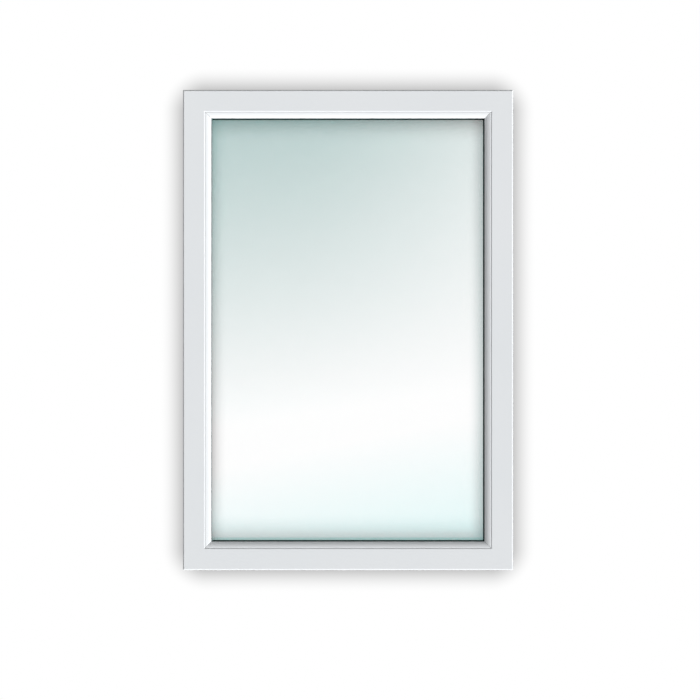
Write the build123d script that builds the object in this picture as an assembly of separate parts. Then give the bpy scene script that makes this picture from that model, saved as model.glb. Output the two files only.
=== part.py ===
from build123d import *
import math
import os

# A fixed PVC window: one sealed glass unit held in a mitred frame by snap-in beads on the room side.
# The room is at -Y, outdoors at +Y, and +Z is up. The origin is the middle of the frame's bottom face,
# halfway through its depth. A section is drawn once, with u counted in from the frame's outer edge
# toward the glass and v through its depth, and then runs along each of the four sides.

# Overall size
window_width = 825.0
window_height = 1200.0
frame_depth = 70.0

# Walls of the frame's section
outer_wall = 3.0
inner_web = 1.5
edge_chamfer = 2.5

# Room side of the frame: a flat face, a chamfer beside the bead, and the wall that the bead claws under
face_width = 52.5
face_chamfer = 2.5
face_chamfer_depth = 0.65 * face_chamfer
front_wall = 5.0
bead_ledge = 5.0

# Rebate and the flange that stands up outdoors
rebate_height = 21.0
flange_thickness = 14.0
flange_slope_run = 8.0
flange_slope_drop = 11.0
flange_crest_radius = 2.0
flange_tip_radius = 1.0

# Chambers beside, in front of and behind the steel
back_chamber_depth = 18.0
front_chamber_depth = 12.0
floor_chamber_height = 5.5
drain_chamber_height = 15.0
steel_clearance = 0.5

# Steel box inside the main chamber
steel_wall = 1.5
steel_corner_radius = 2.0
steel_end_gap = 10.0

# Clip grooves round the frame's outer edge
clip_groove_offset = 9.5
clip_mouth = 5.0
clip_width = 8.0
clip_depth = 4.5
clip_lip = 1.5

# Groove that the bead's claw snaps into
claw_groove_width = 4.5
claw_groove_depth = 4.0
claw_undercut = 1.0
claw_undercut_height = 2.0
claw_clearance = 0.25

# Bead
bead_strip = 2.8
bead_nose = 16.4
bead_nose_radius = 1.5
bead_bulge = 1.3
bead_wall = 1.8
bead_mitre_gap = 0.4
bead_heel_drop = 6.0
bead_heel_set_back = 3.0

# Sealed glass unit
pane_thickness = 4.0
cavity_width = 16.0
pane_arris = 0.5
glass_clearance = 5.0
edge_seal_height = 6.0
spacer_height = 7.5
spacer_wall = 1.0

# Gaskets on both sides of the glass. Those on the left are rolled in deeper, so less of their lips shows.
gasket_thickness = 3.0
gasket_lip = 4.0
left_gasket_lip = 1.6
gasket_body = 12.0
gasket_lip_radius = 1.4
gasket_foot_width = 2.0
gasket_foot_depth = 2.5
gasket_foot_inset = 5.0
gasket_foot_clearance = 0.1

# Glazing blocks that carry and centre the glass
block_length = 100.0
block_corner_distance = 50.0
block_overhang = 1.0
block_groove_width = 4.0
block_groove_depth = 1.5

# Drain slots through the sill, and the caps over the outdoor ones
drain_slot_length = 25.0
drain_slot_width = 5.0
inner_drain_inset = 250.0
outer_drain_inset = 180.0
cap_end_margin = 8.5
cap_side_margin = 5.5
cap_plate = 1.2
cap_corner_radius = 3.0
hood_set_back = 2.5
hood_depth = 4.0
hood_taper = 20.0
cap_wall = 1.2
spigot_clearance = 0.3

# Holes for the screws into the wall
fixing_hole_diameter = 6.5
jamb_fixing_inset = 250.0
head_fixing_inset = 220.0

# Levels across the frame, counted in from its outer edge
bead_edge = face_width + face_chamfer
rebate_floor = bead_edge - bead_ledge
sight_line = rebate_floor + rebate_height
glass_edge = rebate_floor + glass_clearance
spacer_foot = glass_edge + edge_seal_height
spacer_top = spacer_foot + spacer_height
claw_groove_floor = rebate_floor - claw_groove_depth
floor_chamber_foot = rebate_floor - outer_wall - floor_chamber_height
main_chamber_top = floor_chamber_foot - inner_web
side_chamber_foot = clip_depth + outer_wall

# Levels through the frame's depth
front = -frame_depth / 2
back = frame_depth / 2
flange_face = back - flange_thickness
unit_back = flange_face - gasket_thickness
unit_front = unit_back - 2 * pane_thickness - cavity_width
unit_middle = (unit_front + unit_back) / 2
cavity_front = unit_front + pane_thickness
cavity_back = unit_back - pane_thickness
bead_back = unit_front - gasket_thickness
bead_front = front + face_chamfer_depth
ledge_face = front + front_wall
claw_groove_back = ledge_face + claw_groove_width
front_chamber_back = front + outer_wall + front_chamber_depth
back_chamber_front = back - outer_wall - back_chamber_depth
main_chamber_front = front_chamber_back + inner_web
main_chamber_back = back_chamber_front - inner_web
main_chamber_middle = (main_chamber_front + main_chamber_back) / 2

# Where the gaskets' feet stand, and the middle of the outdoor drain slots
foot_top = sight_line - gasket_foot_inset + gasket_foot_width / 2
foot_bottom = foot_top - gasket_foot_width
drain_web_top = rebate_floor - outer_wall - drain_chamber_height
outer_drain_height = drain_web_top + drain_slot_width / 2


def outline(*points):
    """A flat shape with straight edges through the points."""
    return make_face(Polyline(*points, close=True))


def strip(u_low, u_high, v_low, v_high):
    """An upright rectangle between two levels across the frame and two through its depth."""
    middle = Pos((u_low + u_high) / 2, (v_low + v_high) / 2)
    return middle * Rectangle(u_high - u_low, v_high - v_low)


def corners_of(shape, places):
    """The corners of a flat shape nearest to the places."""
    return [shape.vertices().sort_by_distance((u, v, 0))[0] for u, v in places]


def rounded(shape, radius, *corners):
    """The flat shape with the named corners rounded."""
    return fillet(corners_of(shape, corners), radius)


def bevelled(shape, length, *corners):
    """The flat shape with the named corners cut off at 45 degrees."""
    return chamfer(corners_of(shape, corners), length)


def frame_outline():
    """The frame's outer contour: flat room face, bead groove, glazing rebate and outdoor flange."""
    slope_crest = (sight_line - flange_slope_run, back)
    slope_foot = (sight_line, back - flange_slope_drop)
    shape = outline(
        (0, front),
        (face_width, front),
        (bead_edge, bead_front),
        (bead_edge, ledge_face),
        (rebate_floor, ledge_face),
        (rebate_floor, flange_face),
        (sight_line, flange_face),
        slope_foot,
        slope_crest,
        (0, back),
    )
    shape = bevelled(shape, edge_chamfer, (0, front), (0, back))
    shape = rounded(shape, flange_crest_radius, slope_crest)
    return rounded(shape, flange_tip_radius, slope_foot)


def claw_groove():
    """The groove in the rebate floor beside the front wall, undercut for the bead's claw."""
    slot = strip(claw_groove_floor, rebate_floor, ledge_face, claw_groove_back)
    undercut_top = claw_groove_floor + claw_undercut_height
    return slot + strip(claw_groove_floor, undercut_top, ledge_face - claw_undercut, claw_groove_back)


def clip_groove(middle):
    """A lipped groove in the outer edge, for the clips of sills and extension profiles."""
    mouth = strip(0, clip_lip, middle - clip_mouth / 2, middle + clip_mouth / 2)
    return mouth + strip(clip_lip, clip_depth, middle - clip_width / 2, middle + clip_width / 2)


def gasket_slot(face, away):
    """The slot for a gasket's foot, cut from a face in the direction that leads away from the glass."""
    v_low, v_high = sorted((face, face + away * gasket_foot_depth))
    return strip(foot_bottom, foot_top, v_low, v_high)


def frame_chambers():
    """The hollow chambers that keep the walls even: one for the steel and smaller ones round it."""
    front_inside = front + outer_wall
    back_inside = back - outer_wall
    front_top = claw_groove_floor - outer_wall
    front_web = (side_chamber_foot + front_top) / 2
    under_floor = rebate_floor - outer_wall
    groove_wall = claw_groove_back + inner_web
    flange_inside = flange_face + gasket_foot_depth + inner_web
    crest_inside = sight_line - flange_slope_run - inner_web
    main = strip(outer_wall, main_chamber_top, main_chamber_front, main_chamber_back)
    floor = strip(floor_chamber_foot, under_floor, main_chamber_front, main_chamber_back)
    front_low = strip(side_chamber_foot, front_web - inner_web / 2, front_inside, front_chamber_back)
    front_high = strip(front_web + inner_web / 2, front_top, front_inside, front_chamber_back)
    back_low = strip(side_chamber_foot, drain_web_top - inner_web, back_chamber_front, back_inside)
    back_high = strip(drain_web_top, under_floor, back_chamber_front, back_inside)
    flange = strip(rebate_floor, crest_inside, flange_inside, back_inside)
    front_high += strip(front_top - inner_web, under_floor, groove_wall, front_chamber_back)
    return [main, floor, front_low, front_high, back_low, back_high, flange]


def frame_section():
    """The frame's profile with its grooves cut and its chambers open."""
    section = frame_outline() - claw_groove() - gasket_slot(flange_face, 1)
    for middle in (front + clip_groove_offset, back - clip_groove_offset):
        section -= clip_groove(middle)
    for chamber in frame_chambers():
        section -= chamber
    return section


def steel_section():
    """The bent steel box that stiffens a frame side, centred in the main chamber."""
    height = main_chamber_top - outer_wall - 2 * steel_clearance
    depth = main_chamber_back - main_chamber_front - 2 * steel_clearance
    bore_radius = steel_corner_radius - steel_wall
    box = RectangleRounded(height, depth, steel_corner_radius)
    box -= RectangleRounded(height - 2 * steel_wall, depth - 2 * steel_wall, bore_radius)
    return Pos((outer_wall + main_chamber_top) / 2, main_chamber_middle) * box


def bead_body():
    """The bead's contour above the rebate floor: a strip beside the frame, a curved bevel that ends in a
    flat nose beside the glass, and a flat back."""
    side = bead_edge + claw_clearance
    strip_end = (bead_edge + bead_strip, bead_front)
    nose = (sight_line, bead_back - bead_nose)
    heel = (rebate_floor, bead_back - bead_heel_set_back)
    curve = SagittaArc(strip_end, nose, -bead_bulge)
    straight = Polyline(
        nose,
        (sight_line, bead_back),
        (rebate_floor + bead_heel_drop, bead_back),
        heel,
        (rebate_floor, ledge_face + claw_clearance),
        (side, ledge_face + claw_clearance),
        (side, bead_front),
        strip_end,
    )
    return rounded(make_face([curve, straight]), bead_nose_radius, nose)


def bead_claw():
    """The leg that goes down into the groove, with a toe that hooks under the front wall."""
    foot = claw_groove_floor + claw_clearance
    toe_top = claw_groove_floor + claw_undercut_height - claw_clearance
    leg_front = ledge_face + claw_clearance
    leg = strip(foot, rebate_floor, leg_front, claw_groove_back - claw_clearance)
    return leg + strip(foot, toe_top, leg_front - claw_undercut, claw_groove_back - claw_clearance)


def bead_section():
    """The glazing bead: a hollow body, a slot for its gasket and the claw that snaps it in."""
    body = bead_body()
    chamber = offset(body, amount=-bead_wall, kind=Kind.INTERSECTION)
    chamber &= strip(rebate_floor, foot_bottom - bead_wall, front, bead_back)
    return body - chamber - gasket_slot(bead_back, -1) + bead_claw()


def gasket_section(glass_face, seat_face, lip=gasket_lip):
    """A gasket between the glass and the bead or flange: a flat body, a rounded lip and a foot."""
    lip_line = sight_line + lip
    v_low, v_high = sorted((glass_face, seat_face))
    away = 1 if seat_face > glass_face else -1
    body = strip(lip_line - gasket_body, lip_line, v_low, v_high)
    body = rounded(body, gasket_lip_radius, (lip_line, seat_face))
    foot_end = seat_face + away * (gasket_foot_depth - gasket_foot_clearance)
    v_low, v_high = sorted((seat_face, foot_end))
    return body + strip(foot_bottom + gasket_foot_clearance, foot_top - gasket_foot_clearance, v_low, v_high)


def spacer_section():
    """The hollow bar that holds the two panes apart."""
    bar = strip(spacer_foot, spacer_top, cavity_front, cavity_back)
    return bar - strip(
        spacer_foot + spacer_wall,
        spacer_top - spacer_wall,
        cavity_front + spacer_wall,
        cavity_back - spacer_wall,
    )


def edge_seal_section():
    """The sealant outside the spacer bar, flush with the edges of the panes."""
    return strip(glass_edge, spacer_foot, cavity_front, cavity_back)


def window_sides():
    """Each side's section plane, with x along u and y along v, and the side's outer length."""
    half = window_width / 2
    top = window_height
    return {
        "sill": (Plane(origin=(half, 0, 0), x_dir=(0, 0, 1), z_dir=(-1, 0, 0)), window_width),
        "left_jamb": (Plane(origin=(-half, 0, 0), x_dir=(1, 0, 0), z_dir=(0, 0, 1)), window_height),
        "head": (Plane(origin=(-half, 0, top), x_dir=(0, 0, -1), z_dir=(1, 0, 0)), window_width),
        "right_jamb": (Plane(origin=(half, 0, top), x_dir=(-1, 0, 0), z_dir=(0, 0, -1)), window_height),
    }


def mitred(section, length, gap=0.0):
    """A bar of the section, cut at 45 degrees at both ends, half a gap short of the corners' diagonals."""
    shortfall = gap / math.sqrt(2)
    bar = extrude(section, amount=length)
    bar = split(bar, bisect_by=Plane(origin=(0, 0, shortfall), z_dir=(-1, 0, 1)), keep=Keep.TOP)
    return split(bar, bisect_by=Plane(origin=(0, 0, length - shortfall), z_dir=(-1, 0, -1)), keep=Keep.TOP)


def square_cut(section, length):
    """A bar of the section with square ends, short of the corners by the steel's end gap."""
    inset = main_chamber_top + steel_end_gap
    return Pos(0, 0, inset) * extrude(section, amount=length - 2 * inset)


def fixing_bores(length, inset):
    """Two bores from the rebate floor out through the frame, one at each end of a side."""
    reach = rebate_floor + 2 * outer_wall
    bore = Rot(0, 90, 0) * Cylinder(fixing_hole_diameter / 2, reach)
    stations = [inset, length - inset]
    return [Pos(rebate_floor / 2, main_chamber_middle, station) * bore for station in stations]


def drain_stations(inset):
    """The places along the sill of a pair of drain slots."""
    return [-window_width / 2 + inset, window_width / 2 - inset]


def outdoor_face(x):
    """The plane on the sill's outdoor face at an outdoor drain slot, facing outdoors."""
    return Plane(origin=(x, back, outer_drain_height), x_dir=(-1, 0, 0), z_dir=(0, 1, 0))


def drain_slots():
    """Slots that let water out of the rebate into the back chamber, and from there outdoors."""
    slot = SlotOverall(drain_slot_length, drain_slot_width)
    floor_middle = (back_chamber_front + flange_face) / 2
    cuts = [
        extrude(Plane(origin=(x, floor_middle, rebate_floor)) * slot, amount=-2 * outer_wall)
        for x in drain_stations(inner_drain_inset)
    ]
    cuts += [
        extrude(outdoor_face(x) * slot, amount=-2 * outer_wall) for x in drain_stations(outer_drain_inset)
    ]
    return cuts


def drain_cap():
    """A moulded cap: a rounded plate, a tapered hood open at its lower edge and a spigot in the slot."""
    plate_length = drain_slot_length + 2 * cap_end_margin
    plate_height = drain_slot_width + 2 * cap_side_margin
    hood_length = plate_length - 2 * hood_set_back
    hood_height = plate_height - 2 * hood_set_back
    hood_outline = RectangleRounded(hood_length, hood_height, cap_corner_radius)
    hood = Pos(0, 0, cap_plate) * extrude(hood_outline, amount=hood_depth, taper=hood_taper)
    hollow = strip(-drain_slot_length / 2, drain_slot_length / 2, -plate_height / 2, drain_slot_width / 2)
    hollow = Pos(0, 0, cap_plate) * extrude(hollow, amount=hood_depth - cap_wall)
    plate = extrude(RectangleRounded(plate_length, plate_height, cap_corner_radius), amount=cap_plate)
    spigot_length = drain_slot_length - 2 * spigot_clearance
    spigot_width = drain_slot_width - 2 * spigot_clearance
    spigot = extrude(SlotOverall(spigot_length, spigot_width), amount=-outer_wall)
    bore = SlotOverall(spigot_length - 2 * cap_wall, spigot_width - 2 * cap_wall)
    bore = Pos(0, 0, -outer_wall) * extrude(bore, amount=outer_wall + cap_plate)
    return plate + (hood - hollow) + spigot - bore


def glazing_block(station):
    """A plastic packer between the glass edge and the rebate floor, grooved so that water passes."""
    width = unit_back - unit_front + 2 * block_overhang
    section = strip(rebate_floor, glass_edge, unit_middle - width / 2, unit_middle + width / 2)
    for middle in (unit_middle - width / 4, unit_middle + width / 4):
        groove = (middle - block_groove_width / 2, middle + block_groove_width / 2)
        section -= strip(rebate_floor, rebate_floor + block_groove_depth, *groove)
    return Pos(0, 0, station - block_length / 2) * extrude(section, amount=block_length)


def pane(v_front):
    """One sheet of glass with its edges lightly ground."""
    width = window_width - 2 * glass_edge
    height = window_height - 2 * glass_edge
    sheet = Pos(0, v_front + pane_thickness / 2, window_height / 2) * Box(width, pane_thickness, height)
    return chamfer(sheet.edges(), pane_arris)


def save(name, shape):
    """Write one piece to its own STEP file."""
    shape.label = name
    export_step(shape, f"parts/{name}.step")


os.makedirs("parts", exist_ok=True)

# Two blocks on each side, in the order in which the side's run meets them
block_names = {
    "sill": ("setting_block_right", "setting_block_left"),
    "left_jamb": ("left_block_lower", "left_block_upper"),
    "head": ("head_block_left", "head_block_right"),
    "right_jamb": ("right_block_upper", "right_block_lower"),
}

# Pieces with mitred corners, the left side's narrower gaskets, and the hairline left between beads
mitred_sections = {
    "bead": bead_section(),
    "bead_gasket": gasket_section(unit_front, bead_back),
    "outer_gasket": gasket_section(unit_back, flange_face),
    "spacer": spacer_section(),
    "edge_seal": edge_seal_section(),
}
left_gaskets = {
    "bead_gasket": gasket_section(unit_front, bead_back, left_gasket_lip),
    "outer_gasket": gasket_section(unit_back, flange_face, left_gasket_lip),
}
mitre_gaps = {"bead": bead_mitre_gap}

fixing_insets = {"left_jamb": jamb_fixing_inset, "right_jamb": jamb_fixing_inset, "head": head_fixing_inset}

for side, (plane, length) in window_sides().items():
    frame_bar = mitred(frame_section(), length)
    steel_bar = square_cut(steel_section(), length)
    if side in fixing_insets:
        for bore in fixing_bores(length, fixing_insets[side]):
            frame_bar -= bore
            steel_bar -= bore
    frame_bar = plane * frame_bar
    if side == "sill":
        for cut in drain_slots():
            frame_bar -= cut
    save(f"frame_{side}", frame_bar)
    save(f"steel_{side}", plane * steel_bar)
    for name, section in mitred_sections.items():
        if side == "left_jamb":
            section = left_gaskets.get(name, section)
        save(f"{name}_{side}", plane * mitred(section, length, mitre_gaps.get(name, 0.0)))
    block_station = glass_edge + block_corner_distance + block_length / 2
    for name, station in zip(block_names[side], (block_station, length - block_station)):
        save(name, plane * glazing_block(station))

save("inner_pane", pane(unit_front))
save("outer_pane", pane(cavity_back))
for name, x in zip(("drain_cap_left", "drain_cap_right"), drain_stations(outer_drain_inset)):
    save(name, outdoor_face(x) * drain_cap())
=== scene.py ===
import bpy
from math import radians
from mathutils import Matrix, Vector


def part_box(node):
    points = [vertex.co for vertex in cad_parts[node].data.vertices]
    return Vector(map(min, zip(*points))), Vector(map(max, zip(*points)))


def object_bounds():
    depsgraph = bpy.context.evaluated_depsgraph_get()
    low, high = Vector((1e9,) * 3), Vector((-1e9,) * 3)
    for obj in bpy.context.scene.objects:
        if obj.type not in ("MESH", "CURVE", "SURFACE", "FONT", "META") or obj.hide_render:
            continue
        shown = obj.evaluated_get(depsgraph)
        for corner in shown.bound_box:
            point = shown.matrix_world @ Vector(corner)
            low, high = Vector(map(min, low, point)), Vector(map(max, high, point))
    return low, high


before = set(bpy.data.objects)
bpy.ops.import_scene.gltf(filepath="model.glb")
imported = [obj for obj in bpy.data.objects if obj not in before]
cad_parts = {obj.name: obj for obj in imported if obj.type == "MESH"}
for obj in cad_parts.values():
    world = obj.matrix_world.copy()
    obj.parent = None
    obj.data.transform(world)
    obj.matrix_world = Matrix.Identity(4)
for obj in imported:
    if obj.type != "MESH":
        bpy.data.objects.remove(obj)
cad_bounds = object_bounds()
bpy.ops.object.select_all(action="DESELECT")

# Frame bars
# Four hollow white PVC extrusions, mitred and welded at the corners. The dies leave faint draw lines
# along each bar and a satin skin with a very slight ripple across the wide flat faces.

SIDES = ("sill", "left_jamb", "head", "right_jamb")
RUNS_ALONG = {"sill": 0, "head": 0, "left_jamb": 2, "right_jamb": 2}
PVC_TONES = ((222, 226, 229), (229, 231, 233))
PVC_ROUGHNESS = (0.36, 0.46)
PVC_REFRACTION = 1.47
PVC_RELIEF = 0.00004
DRAW_LINES = {"across": 1400.0, "along": 5.0}
RIPPLES = {"across": 60.0, "along": 4.0}
PVC_GRAINS = 2500.0
PVC_CLOUDS = 3.0
LINE_SHARE_OF_ROUGHNESS = 0.6
LINE_HEIGHT = 0.35
GRAIN_HEIGHT = 0.15
RIPPLE_HEIGHT = 0.5


class Wire:
    """A shader socket that takes part in sums: each operator adds the Math node that works it out."""

    def __init__(self, finish, socket):
        self.finish = finish
        self.socket = socket

    def __getitem__(self, output):
        return Wire(self.finish, self.socket.node.outputs[output])

    def __add__(self, other):
        return self.finish.maths("ADD", self, other)

    def __radd__(self, other):
        return self.finish.maths("ADD", other, self)

    def __sub__(self, other):
        return self.finish.maths("SUBTRACT", self, other)

    def __rsub__(self, other):
        return self.finish.maths("SUBTRACT", other, self)

    def __mul__(self, other):
        return self.finish.maths("MULTIPLY", self, other)

    def __rmul__(self, other):
        return self.finish.maths("MULTIPLY", other, self)

    def __truediv__(self, other):
        return self.finish.maths("DIVIDE", self, other)

    def __rtruediv__(self, other):
        return self.finish.maths("DIVIDE", other, self)

    def __pow__(self, other):
        return self.finish.maths("POWER", self, other)

    def __rpow__(self, other):
        return self.finish.maths("POWER", other, self)


class Finish:
    """A procedural material or world, wired node by node, whose nodes hand back their outputs as wires."""

    def __init__(self, name, library=bpy.data.materials):
        self.made = library.new(name)
        self.made.use_nodes = True
        self.tree = self.made.node_tree
        self.tree.nodes.clear()

    def node(self, kind, settings=None, inputs=None, output=0):
        """Add a node: its settings first, then the values or links of its sockets."""
        node = self.tree.nodes.new(kind)
        for name, value in (settings or {}).items():
            setattr(node, name, value)
        for name, value in (inputs or {}).items():
            if isinstance(value, Wire):
                self.tree.links.new(value.socket, node.inputs[name])
            else:
                node.inputs[name].default_value = value
        return Wire(self, node.outputs[output]) if node.outputs else None

    def maths(self, operation, *terms):
        """Add a Math node. The operators use it, and it is called by name for what they don't cover."""
        return self.node("ShaderNodeMath", {"operation": operation}, dict(enumerate(terms)))

    def clamp(self, value):
        """The value held between 0 and 1."""
        return self.node("ShaderNodeClamp", {}, {"Value": value})

    def place(self, scale=(1.0, 1.0, 1.0)):
        """The point on the object in metres, with each direction scaled."""
        point = self.node("ShaderNodeTexCoord", output="Object")
        return self.node("ShaderNodeMapping", {}, {"Vector": point, "Scale": scale})

    def noise(self, per_metre, detail=2.0):
        """A noise from 0 to 1 with so many grains to the metre in each direction."""
        grains = {"Vector": self.place(per_metre), "Scale": 1.0, "Detail": detail}
        return self.node("ShaderNodeTexNoise", {}, grains)

    def specks(self, per_metre, detail=2.0):
        """A noise whose grains are as long as they are wide."""
        return self.noise((per_metre, per_metre, per_metre), detail)

    def streaks(self, axis, across, along):
        """A noise whose grains are drawn out along one axis."""
        per_metre = [across, across, across]
        per_metre[axis] = along
        return self.noise(per_metre)

    def spread(self, value, limits):
        """A value from 0 to 1 carried over to the range between two limits."""
        low, high = limits
        return self.node("ShaderNodeMapRange", {}, {"Value": value, "To Min": low, "To Max": high})

    def tint(self, factor, low, high, blend="MIX"):
        """A linear colour between two, by a factor from 0 to 1. With the blend MULTIPLY it is the first
        colour, multiplied by that much of the second."""
        settings = {"data_type": "RGBA", "clamp_factor": True, "blend_type": blend}
        return self.node("ShaderNodeMix", settings, {0: factor, 6: low, 7: high}, output=2)

    def tones(self, factor, pair):
        """A colour between two screen colours, by a factor from 0 to 1."""
        return self.tint(factor, paint(pair[0]), paint(pair[1]))

    def relief(self, height, depth):
        """A normal for a surface whose height from 0 to 1 stands for a depth in metres."""
        return self.node("ShaderNodeBump", {}, {"Height": height, "Distance": depth})

    def end_in(self, shader, kind="ShaderNodeOutputMaterial"):
        """Join the last shader to the output and hand over what has been made."""
        self.node(kind, {}, {"Surface": shader})
        return self.made

    def surface(self, inputs):
        """End the material in one Principled shader."""
        return self.end_in(self.node("ShaderNodeBsdfPrincipled", {}, inputs))


def paint(tone):
    """A screen colour, 0 to 255 each, as the linear colour that a shader socket takes."""
    shares = [value / 255 for value in tone]
    linear = [s / 12.92 if s <= 0.04045 else ((s + 0.055) / 1.055) ** 2.4 for s in shares]
    return (*linear, 1.0)


def dress(node_name, material):
    """Give a CAD node its material."""
    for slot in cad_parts[node_name].material_slots:
        slot.material = material


def extruded_pvc(name, axis):
    """White satin PVC whose draw lines run along one axis."""
    finish = Finish(name)
    lines = finish.streaks(axis, **DRAW_LINES)
    ripple = finish.streaks(axis, **RIPPLES)
    grain = finish.specks(PVC_GRAINS)
    cloud = finish.specks(PVC_CLOUDS, detail=3.0)
    dullness = lines * LINE_SHARE_OF_ROUGHNESS + cloud * (1.0 - LINE_SHARE_OF_ROUGHNESS)
    height = lines * LINE_HEIGHT + grain * GRAIN_HEIGHT + ripple * RIPPLE_HEIGHT
    return finish.surface({
        "Base Color": finish.tones(cloud, PVC_TONES),
        "Roughness": finish.spread(dullness, PVC_ROUGHNESS),
        "Normal": finish.relief(height, PVC_RELIEF),
        "IOR": PVC_REFRACTION,
    })


pvc_by_axis = {0: extruded_pvc("pvc_across", 0), 2: extruded_pvc("pvc_upright", 2)}
for side in SIDES:
    dress(f"frame_{side}", pvc_by_axis[RUNS_ALONG[side]])

# Steel boxes
# Roll-formed galvanised steel, cut square and slid into the main chamber of each bar. The zinc shows
# its spangle, and the open ends of the screw holes give the only view of it.

ZINC_TONES = ((150, 155, 158), (196, 200, 202))
ZINC_ROUGHNESS = (0.35, 0.6)
ZINC_RELIEF = 0.00003
ZINC_CRYSTALS = 160.0
ZINC_SCRATCHES = {"across": 900.0, "along": 20.0}


def galvanised_steel():
    """Zinc-coated steel with pale and dark crystals a few millimetres across."""
    finish = Finish("galvanised_steel")
    point = finish.place((ZINC_CRYSTALS, ZINC_CRYSTALS, ZINC_CRYSTALS))
    crystals = finish.node("ShaderNodeTexVoronoi", {}, {"Vector": point, "Scale": 1.0}, output="Color")
    shade = finish.node("ShaderNodeSeparateColor", {}, {"Color": crystals})
    scratches = finish.streaks(2, **ZINC_SCRATCHES)
    return finish.surface({
        "Base Color": finish.tones(shade, ZINC_TONES),
        "Roughness": finish.spread((shade + scratches) / 2.0, ZINC_ROUGHNESS),
        "Normal": finish.relief(scratches, ZINC_RELIEF),
        "Metallic": 1.0,
    })


zinc = galvanised_steel()
for side in SIDES:
    dress(f"steel_{side}", zinc)

# Glazing blocks
# Moulded polypropylene packers, grooved underneath. Two carry the glass on the sill, and six more
# centre it at the head and the jambs.

BLOCK_TONES = ((112, 118, 122), (130, 136, 139))
BLOCK_ROUGHNESS = (0.5, 0.68)
BLOCK_RELIEF = 0.00006
BLOCK_GRAINS = 1200.0
BLOCK_PATCHES = 25.0


def moulded_block():
    """Grey moulded plastic with a fine spark-eroded grain and slightly worn patches."""
    finish = Finish("moulded_block")
    grain = finish.specks(BLOCK_GRAINS)
    patches = finish.specks(BLOCK_PATCHES, detail=4.0)
    return finish.surface({
        "Base Color": finish.tones(patches, BLOCK_TONES),
        "Roughness": finish.spread(patches, BLOCK_ROUGHNESS),
        "Normal": finish.relief(grain, BLOCK_RELIEF),
    })


block_plastic = moulded_block()
for node_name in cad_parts:
    if "_block_" in node_name:
        dress(node_name, block_plastic)

# Spacer bars
# Hollow aluminium bars, mitred at the corners, that hold the panes apart. Their face toward the cavity
# has two rows of pinholes that let the drying beads inside breathe.

# The pinholes are dents in the bump, painted dark for the shade inside them.
PINHOLE_PITCH = 0.004
PINHOLE_RADIUS = PINHOLE_PITCH * 0.16
PINHOLE_PAINTED_SHADE = (46, 50, 50)
SPACER_TONES = ((178, 186, 186), (198, 204, 203))
SPACER_ROUGHNESS = (0.32, 0.46)
SPACER_RELIEF = 0.0002
SPACER_LINES = {"across": 1500.0, "along": 8.0}
SPACER_LINE_HEIGHT = 0.4
cavity_front, cavity_back = (corner[1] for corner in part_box("spacer_sill"))
cavity_middle = (cavity_front + cavity_back) / 2
row_from_middle = (cavity_back - cavity_front) / 4


def spacer_metal(name, axis):
    """Mill-finished aluminium with rows of pinholes along one axis, painted dark for the shade inside
    them.
    """
    finish = Finish(name)
    point = finish.node("ShaderNodeSeparateXYZ", {}, {"Vector": finish.place()})
    from_middle = finish.maths("ABSOLUTE", point["Y"] - cavity_middle)
    from_row = from_middle - row_from_middle
    from_hole = finish.maths("WRAP", point["XYZ"[axis]], PINHOLE_PITCH / 2, -PINHOLE_PITCH / 2)
    distance = (from_row * from_row + from_hole * from_hole) ** 0.5
    # Each pinhole is painted dark for the shade inside it.
    hole = finish.maths("LESS_THAN", distance, PINHOLE_RADIUS)
    lines = finish.streaks(axis, **SPACER_LINES)
    return finish.surface({
        "Base Color": finish.tint(hole, finish.tones(lines, SPACER_TONES), paint(PINHOLE_PAINTED_SHADE)),
        "Roughness": finish.spread(lines, SPACER_ROUGHNESS),
        "Normal": finish.relief(lines * SPACER_LINE_HEIGHT - hole, SPACER_RELIEF),
        "Metallic": 1.0 - hole,
    })


spacer_by_axis = {0: spacer_metal("spacer_across", 0), 2: spacer_metal("spacer_upright", 2)}
for side in SIDES:
    dress(f"spacer_{side}", spacer_by_axis[RUNS_ALONG[side]])

# Edge seals
# Black polysulphide sealant, gunned in behind the spacer bars and struck off flush with the panes.

SEALANT_TONES = ((34, 36, 37), (52, 54, 54))
SEALANT_ROUGHNESS = (0.45, 0.7)
SEALANT_RELIEF = 0.0003
DRAG_MARKS = (90.0, 700.0, 90.0)


def edge_sealant():
    """Dull black sealant with the drag marks of the trowel."""
    finish = Finish("edge_sealant")
    drag = finish.noise(DRAG_MARKS, detail=4.0)
    return finish.surface({
        "Base Color": finish.tones(drag, SEALANT_TONES),
        "Roughness": finish.spread(drag, SEALANT_ROUGHNESS),
        "Normal": finish.relief(drag, SEALANT_RELIEF),
    })


sealant = edge_sealant()
for side in SIDES:
    dress(f"edge_seal_{side}", sealant)

# Panes
# Two sheets of float glass, 4 mm thick. The room-side sheet carries a painted reflection: teal at the top
# left, clear below the middle and pale cyan at the foot. The outdoor sheet is bare and carries a trace of
# dust.

(glass_left, _, glass_bottom), (glass_right, _, glass_top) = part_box("inner_pane")
HEAD_ON_MIRROR = 0.04
SLANT_POWER = 5.0
GLOSS_ROUGHNESS = 0.01
PAINTED_REFLECTION_AND_DUST_ROUGHNESS = 0.12

# The painted reflection's places are shares of the sheet's width and height, measured from its lower left
# corner.
PAINTED_REFLECTION_TONE = (63, 154, 149)
PAINTED_REFLECTION_LEAN = 0.10
PAINTED_REFLECTION_FOOT = 0.27
PAINTED_REFLECTION_HEAD = 0.977
PAINTED_REFLECTION_MOST = 0.333
FADE_START = 0.29
FADE_DEPTH = 0.517
FADE_POWER = 1.6
FOOT_TINT_TONE = (80, 232, 232)
FOOT_TINT_LEAN = 0.131
FOOT_TINT_START = 0.176
FOOT_TINT_RATE = 0.46
TONE_CHANGE_START = 0.23
TONE_CHANGE_RATE = 6.4

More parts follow.
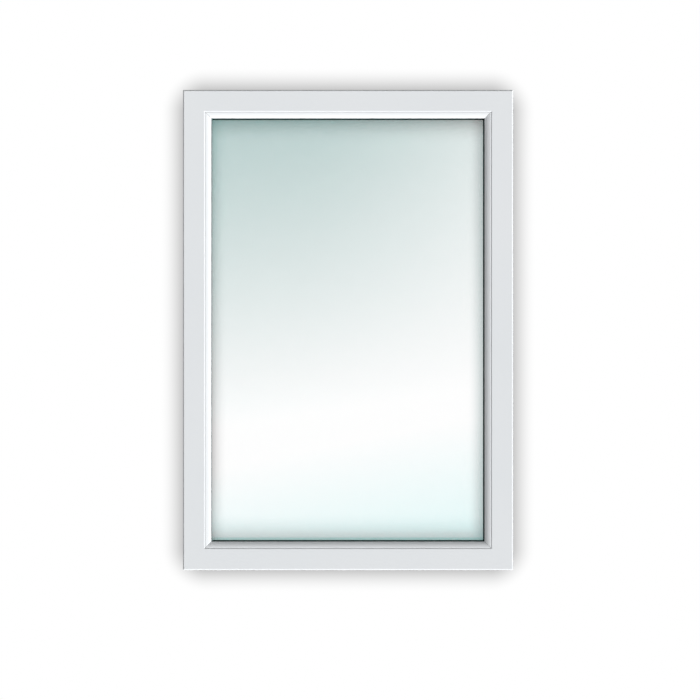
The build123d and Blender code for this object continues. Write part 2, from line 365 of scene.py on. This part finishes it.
DUST_TONE = (150, 196, 180)
DUST_GRAINS = (60.0, 60.0, 25.0)
DUST_SHARE = 0.02
DUST_SINKING = 3.0
BARE_SHEET_SHARE = 0.004


def grey(level):
    """A linear grey, from 0 for black to 1 for white."""
    return (level, level, level, 1.0)


def sheet_place(finish):
    """How far a point on the glass is across from the left and up from the foot, from 0 to 1 each."""
    point = finish.node("ShaderNodeSeparateXYZ", {}, {"Vector": finish.place()})
    across = (point["X"] - glass_left) / (glass_right - glass_left)
    up = (point["Z"] - glass_bottom) / (glass_top - glass_bottom)
    return across, up


def glass_shader(finish, painted_reflection_and_dust_colour, painted_reflection_and_dust_share):
    """Clear glass whose layer, a painted reflection on the room-side sheet and dust outdoors, hides a
    share of what is behind, under a gloss that grows toward the rim.
    """
    painted_reflection_and_dust_layer = finish.node("ShaderNodeBsdfPrincipled", {}, {
        "Base Color": painted_reflection_and_dust_colour,
        "Alpha": painted_reflection_and_dust_share,
        "Roughness": PAINTED_REFLECTION_AND_DUST_ROUGHNESS,
    })
    gloss = finish.node("ShaderNodeBsdfGlossy", {}, {"Color": grey(1.0), "Roughness": GLOSS_ROUGHNESS})
    slant = finish.node("ShaderNodeLayerWeight", {}, {"Blend": 0.5}, output="Facing")
    mirrored = slant ** SLANT_POWER * (1.0 - HEAD_ON_MIRROR) + HEAD_ON_MIRROR
    return finish.end_in(finish.node("ShaderNodeMixShader", {}, {0: mirrored, 1: painted_reflection_and_dust_layer, 2: gloss}))


def sheet_with_painted_reflection():
    """The room-side sheet, whose painted reflection leans down to the right and thins out there."""
    finish = Finish("sheet_with_painted_reflection")
    across, up = sheet_place(finish)
    # The colour and share worked out below are a painted reflection on the glass.
    rise = finish.node("ShaderNodeMapRange", {}, {
        "Value": up - across * PAINTED_REFLECTION_LEAN,
        "From Min": PAINTED_REFLECTION_FOOT,
        "From Max": PAINTED_REFLECTION_HEAD,
        "To Max": PAINTED_REFLECTION_MOST,
    })
    aside = finish.clamp((across - FADE_START) / (1.0 - FADE_START))
    fade = 1.0 - aside ** FADE_POWER * FADE_DEPTH
    low = FOOT_TINT_START - up + across * FOOT_TINT_LEAN
    foot = finish.maths("MAXIMUM", low * FOOT_TINT_RATE, 0.0)
    change = (up - TONE_CHANGE_START) * TONE_CHANGE_RATE
    colour = finish.tones(change, (FOOT_TINT_TONE, PAINTED_REFLECTION_TONE))
    return glass_shader(finish, colour, rise * fade + foot)


def bare_sheet():
    """The outdoor sheet: faintly green, with dust that gathers toward its foot."""
    finish = Finish("bare_sheet")
    up = sheet_place(finish)[1]
    settled = (1.0 - up) ** DUST_SINKING * finish.noise(DUST_GRAINS, detail=6.0) * DUST_SHARE
    return glass_shader(finish, paint(DUST_TONE), settled + BARE_SHEET_SHARE)


dress("inner_pane", sheet_with_painted_reflection())
dress("outer_pane", bare_sheet())

# Gaskets
# Dark grey-green EPDM rubber, rolled in between the glass and the bead on the room side and between the
# glass and the flange outdoors. Only their rounded lips show, and the left ones sit in deeper.

RUBBER_TONES = ((2, 27, 25), (8, 33, 31))
RUBBER_ROUGHNESS = (0.5, 0.66)
RUBBER_REFRACTION = 1.26
RUBBER_RELIEF = 0.00005
RUBBER_BLOOM = 40.0
RUBBER_PITS = 3000.0


def gasket_rubber():
    """Matte rubber with a faint bloom and a fine pitted skin."""
    finish = Finish("gasket_rubber")
    bloom = finish.specks(RUBBER_BLOOM, detail=4.0)
    return finish.surface({
        "Base Color": finish.tones(bloom, RUBBER_TONES),
        "Roughness": finish.spread(bloom, RUBBER_ROUGHNESS),
        "Normal": finish.relief(finish.specks(RUBBER_PITS), RUBBER_RELIEF),
        "IOR": RUBBER_REFRACTION,
    })


rubber = gasket_rubber()
for side in SIDES:
    dress(f"bead_gasket_{side}", rubber)
    dress(f"outer_gasket_{side}", rubber)

# Glazing beads
# Four hollow PVC beads of the same white as the frame, mitred and knocked in by hand from the room
# side, so that a hairline shows at each mitre.

for side in SIDES:
    dress(f"bead_{side}", pvc_by_axis[RUNS_ALONG[side]])

# Drain caps
# Two injection-moulded white caps, pushed into the outdoor drain slots of the sill. Their mould is
# spark-eroded, which leaves them matte.

CAP_TONES = ((219, 222, 223), (227, 229, 229))
CAP_ROUGHNESS = (0.42, 0.55)
CAP_RELIEF = 0.00006
CAP_GRAINS = 1600.0
CAP_FLOW = 50.0


def moulded_cap():
    """Matte white plastic, a little warmer than the extrusions."""
    finish = Finish("moulded_cap")
    flow = finish.specks(CAP_FLOW, detail=3.0)
    return finish.surface({
        "Base Color": finish.tones(flow, CAP_TONES),
        "Roughness": finish.spread(flow, CAP_ROUGHNESS),
        "Normal": finish.relief(finish.specks(CAP_GRAINS), CAP_RELIEF),
    })


cap_plastic = moulded_cap()
for side in ("left", "right"):
    dress(f"drain_cap_{side}", cap_plastic)

# Floor and backdrop
# A pale floor well below the window and a white wall just behind it. The wall shows only from the room
# side, and the frame's shadow is painted on it, darker toward the frame, both round it and behind the
# glass, where a thin teal painted shade lies along the foot.

(frame_left, _, frame_foot), (frame_right, _, frame_head) = cad_bounds
frame_middle = (frame_foot + frame_head) / 2
lip_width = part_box("bead_gasket_sill")[1][2] - frame_foot
UPRIGHT = (radians(90.0), 0.0, 0.0)
FLOOR_LEVEL = -0.75
FLOOR_SIZE = 14.0
FLOOR_TONE = (240, 240, 240)
FLOOR_GLOW = 0.55
WALL_GAP = 0.001
WALL_SIZE = 6.0

# The painted shadow round the frame is deepest at its root, out of sight behind the frame, and ends at its
# reach.
PAINTED_SHADOW_REACH = 0.058
PAINTED_SHADOW_ROOT = 0.070
PAINTED_SHADOW_CORNER = 0.060

# Behind the glass, a painted shade runs inwards from each side's gasket lip, with a slight colour tone.
PAINTED_RIM_SHADES = {
    "left": {"reach": 0.036, "depth": 0.445, "falloff": 1.95, "tone": (1.0, 0.98, 0.98, 1.0)},
    "right": {"reach": 0.040, "depth": 0.488, "falloff": 1.95, "tone": (0.88, 1.0, 1.0, 1.0)},
    "foot": {"reach": 0.068, "depth": 0.456, "falloff": 1.75, "tone": (0.93, 1.0, 1.0, 1.0)},
    "head": {"reach": 0.064, "depth": 0.633, "falloff": 2.2, "tone": (1.0, 0.875, 0.868, 1.0)},
}
# A thin teal line of painted shade lies along the foot, just past the gasket's lip.
PAINTED_FOOT_LINE_HEIGHT = 0.0075
PAINTED_FOOT_LINE_FADE = 0.0025
PAINTED_FOOT_LINE_TONE = (0.60, 0.85, 0.82, 1.0)


def add_plane(name, size, centre, rotation):
    """A flat square of stage with its place in its mesh."""
    bpy.ops.object.select_all(action="DESELECT")
    bpy.ops.mesh.primitive_plane_add(size=size, location=centre, rotation=rotation)
    bpy.ops.object.transform_apply(location=True, rotation=True, scale=True)
    bpy.context.object.name = name
    return bpy.context.object


def pale_floor():
    """A matte floor that looks nearly white to the camera and keeps the object's shadow."""
    finish = Finish("pale_floor")
    seen = finish.node("ShaderNodeLightPath", output="Is Camera Ray")
    matte = finish.node("ShaderNodeBsdfDiffuse", {}, {"Color": paint(FLOOR_TONE)})
    shown = finish.tint(seen, grey(0.0), grey(FLOOR_GLOW))
    glow = finish.node("ShaderNodeEmission", {}, {"Color": shown})
    return finish.end_in(finish.node("ShaderNodeAddShader", {}, {0: matte, 1: glow}))


def painted_shadow_round_frame(finish, inward_across, inward_up):
    """The frame's painted shadow outside it: how bright the wall is by the distance from an outline with
    rounded corners.
    """
    squares = 0.0
    for inward in (inward_across, inward_up):
        squares = finish.maths("MAXIMUM", PAINTED_SHADOW_CORNER - inward, 0.0) ** 2.0 + squares
    return finish.node("ShaderNodeMapRange", {"interpolation_type": "SMOOTHSTEP"}, {
        "Value": squares ** 0.5 - PAINTED_SHADOW_CORNER,
        "From Min": -PAINTED_SHADOW_ROOT,
        "From Max": PAINTED_SHADOW_REACH,
    })


def painted_shade_behind_glass(finish, point, within):
    """The painted shade behind the glass: how bright the wall is there and its colour, which stays white
    outside the frame.
    """
    past_lip = {
        "left": point["X"] - (frame_left + lip_width),
        "right": (frame_right - lip_width) - point["X"],
        "foot": point["Z"] - (frame_foot + lip_width),
        "head": (frame_head - lip_width) - point["Z"],
    }
    # The teal line of painted shade along the foot of the glass.
    line = finish.clamp((PAINTED_FOOT_LINE_HEIGHT - past_lip["foot"]) / PAINTED_FOOT_LINE_FADE)
    colour = finish.tint(line * within, grey(1.0), PAINTED_FOOT_LINE_TONE)
    brightness = 1.0
    for side_of_glass, rim in PAINTED_RIM_SHADES.items():
        near = finish.clamp(1.0 - past_lip[side_of_glass] / rim["reach"])
        shade = near ** rim["falloff"] * within
        brightness = (1.0 - shade * rim["depth"]) * brightness
        colour = finish.tint(shade, colour, rim["tone"], "MULTIPLY")
    return brightness, colour


def wall_with_painted_shadow():
    """A white wall, seen from its front alone, with the soft shadow of the frame before it painted on it.
    """
    finish = Finish("wall_with_painted_shadow")
    point = finish.node("ShaderNodeSeparateXYZ", {}, {"Vector": finish.place()})
    inward_across = frame_right - finish.maths("ABSOLUTE", point["X"])
    inward_up = (frame_head - frame_middle) - finish.maths("ABSOLUTE", point["Z"] - frame_middle)
    inward = finish.maths("MINIMUM", inward_across, inward_up)
    within = finish.maths("GREATER_THAN", inward, lip_width / 2)
    inside, colour = painted_shade_behind_glass(finish, point, within)
    # The wall's glow carries the frame's painted shadow, outside the frame and behind the glass.
    outside = painted_shadow_round_frame(finish, inward_across, inward_up)
    shown = finish.tint(within * inside + (1.0 - within) * outside, grey(0.0), colour)
    glow = finish.node("ShaderNodeEmission", {}, {"Color": shown})
    nothing = finish.node("ShaderNodeBsdfTransparent")
    behind = finish.node("ShaderNodeNewGeometry", output="Backfacing")
    return finish.end_in(finish.node("ShaderNodeMixShader", {}, {0: behind, 1: glow, 2: nothing}))


floor = add_plane("floor", FLOOR_SIZE, (0.0, 0.0, FLOOR_LEVEL), (0.0, 0.0, 0.0))
floor.data.materials.append(pale_floor())
floor.visible_shadow = False
floor.visible_diffuse = False

wall = add_plane("wall", WALL_SIZE, (0.0, cad_bounds[1][1] + WALL_GAP, frame_middle), UPRIGHT)
wall.data.materials.append(wall_with_painted_shadow())
wall.visible_shadow = False
wall.visible_diffuse = False
wall.visible_glossy = False

# Light and camera
# Even light from all round, one broad lamp low on the right and a weaker one behind the window. The
# camera looks square on from the room side, without perspective.

AMBIENT = 0.355
LAMPS = {
    "key_low_right": {"source": (0.60, -0.475, -0.60), "strength": 4.02, "breadth": 0.25},
    "rear_fill": {"source": (-0.25, 0.88, 0.4), "strength": 2.25, "breadth": 0.4},
}
PICTURE_PIXELS = 700
FRAME_PIXELS_HIGH = 480
FRAME_CENTRE_PIXEL = (348.0, 330.0)
CAMERA_DISTANCE = 4.0


def add_sun(name, source, strength, breadth):
    """A lamp so far off that its light is even, shining from the given direction."""
    bpy.ops.object.light_add(type="SUN")
    sun = bpy.context.object
    sun.name = name
    sun.rotation_euler = Vector(source).to_track_quat("Z", "Y").to_euler()
    sun.data.energy = strength
    sun.data.angle = breadth


def white_studio():
    """A world that looks white and is mirrored white, but lights the window at a plain level."""
    finish = Finish("white_studio", bpy.data.worlds)
    path = finish.node("ShaderNodeLightPath")
    mirrored = finish.maths("MAXIMUM", path["Is Glossy Ray"], path["Is Transmission Ray"])
    seen = finish.maths("MAXIMUM", path["Is Camera Ray"], mirrored)
    light = finish.node("ShaderNodeBackground", {}, {"Color": finish.tint(seen, grey(AMBIENT), grey(1.0))})
    return finish.end_in(light, "ShaderNodeOutputWorld")


for lamp_name, lamp in LAMPS.items():
    add_sun(lamp_name, **lamp)
bpy.context.scene.world = white_studio()

metres_per_pixel = (frame_head - frame_foot) / FRAME_PIXELS_HIGH
camera_x = (PICTURE_PIXELS / 2 - FRAME_CENTRE_PIXEL[0]) * metres_per_pixel
camera_z = frame_middle - (PICTURE_PIXELS / 2 - FRAME_CENTRE_PIXEL[1]) * metres_per_pixel
bpy.ops.object.camera_add(location=(camera_x, -CAMERA_DISTANCE, camera_z), rotation=UPRIGHT)
camera = bpy.context.object
camera.data.type = "ORTHO"
camera.data.ortho_scale = PICTURE_PIXELS * metres_per_pixel
bpy.context.scene.camera = camera
bpy.context.scene.view_settings.view_transform = "Standard"
